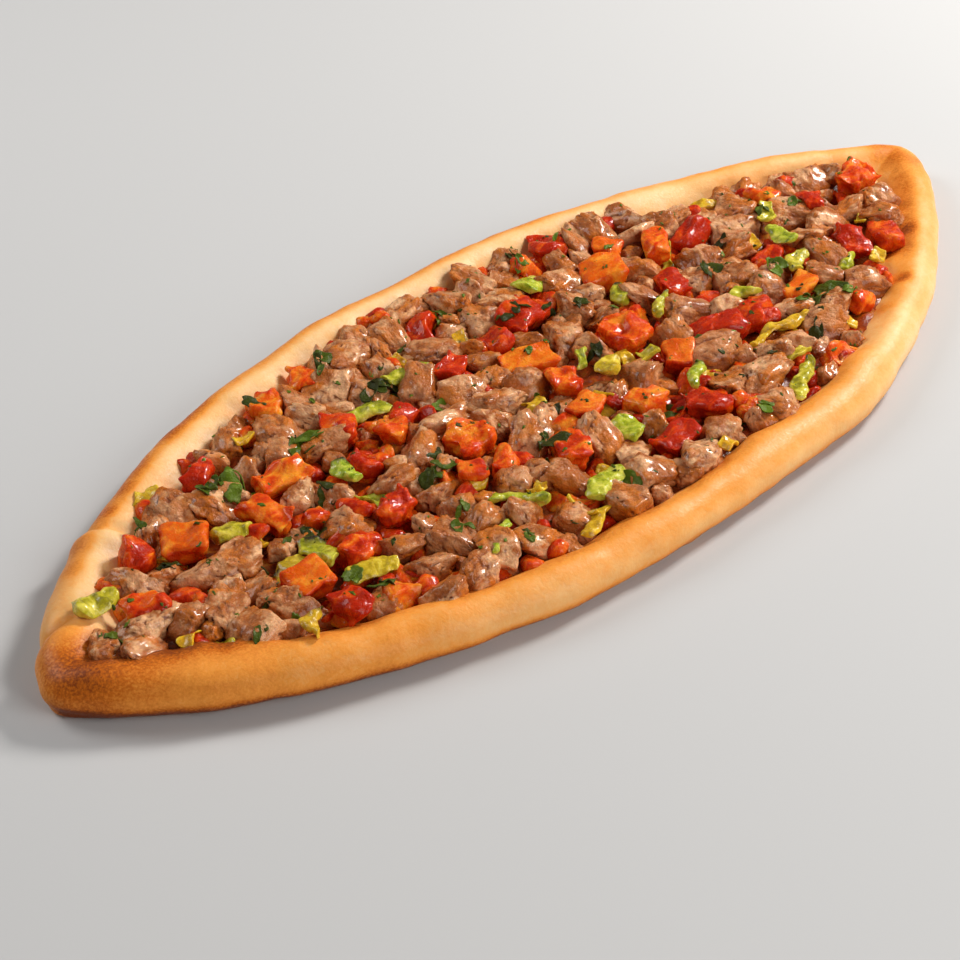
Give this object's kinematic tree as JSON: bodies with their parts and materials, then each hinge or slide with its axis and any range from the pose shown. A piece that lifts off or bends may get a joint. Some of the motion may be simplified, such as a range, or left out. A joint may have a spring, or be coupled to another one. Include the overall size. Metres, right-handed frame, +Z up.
{
  "type": "open boat-shaped flatbread (pide)",
  "caption": "Open boat-shaped baked flatbread with a rolled rim, filled with diced lamb, tomato chunks, green pepper and wilted parsley.",
  "frame": {"origin": "under the middle of the bread, on the surface that it rests on", "axes": "+X along the length from nose to nose, +Y across, +Z up out of the filling"},
  "size_m": [0.5, 0.195, 0.0217],
  "materials": {
    "baked_dough": "baked wheat dough, golden to brown, matt with a faint sheen",
    "lamb": "roasted diced lamb, brown, moist and glossy with fat",
    "tomato": "cooked tomato chunks, red to orange, wet",
    "green_pepper": "cooked green pepper, yellow-green, waxy with scorched edges"
  },
  "bodies": {
    "root": {"crust": "baked_dough", "lamb_bed": "lamb", "tomato_01": "tomato", "tomato_02": "tomato", "tomato_03": "tomato", "tomato_04": "tomato", "tomato_05": "tomato", "tomato_06": "tomato", "tomato_07": "tomato", "tomato_08": "tomato", "tomato_09": "tomato", "tomato_10": "tomato", "tomato_11": "tomato", "tomato_12": "tomato", "tomato_13": "tomato", "tomato_14": "tomato", "tomato_15": "tomato", "tomato_16": "tomato", "tomato_17": "tomato", "tomato_18": "tomato", "tomato_19": "tomato", "tomato_20": "tomato", "tomato_21": "tomato", "tomato_22": "tomato", "tomato_23": "tomato", "tomato_24": "tomato", "tomato_25": "tomato", "tomato_26": "tomato", "tomato_27": "tomato", "tomato_28": "tomato", "tomato_29": "tomato", "tomato_30": "tomato", "tomato_31": "tomato", "tomato_32": "tomato", "tomato_33": "tomato", "pepper_01": "green_pepper", "pepper_02": "green_pepper", "pepper_03": "green_pepper", "pepper_04": "green_pepper", "pepper_05": "green_pepper", "pepper_06": "green_pepper", "pepper_07": "green_pepper", "pepper_08": "green_pepper", "pepper_09": "green_pepper", "pepper_10": "green_pepper", "pepper_11": "green_pepper", "pepper_12": "green_pepper", "pepper_13": "green_pepper", "pepper_14": "green_pepper", "pepper_15": "green_pepper", "pepper_16": "green_pepper", "pepper_17": "green_pepper", "pepper_18": "green_pepper", "pepper_19": "green_pepper", "pepper_20": "green_pepper", "pepper_21": "green_pepper", "pepper_22": "green_pepper", "pepper_23": "green_pepper", "pepper_24": "green_pepper"}
  },
  "joints": []
}
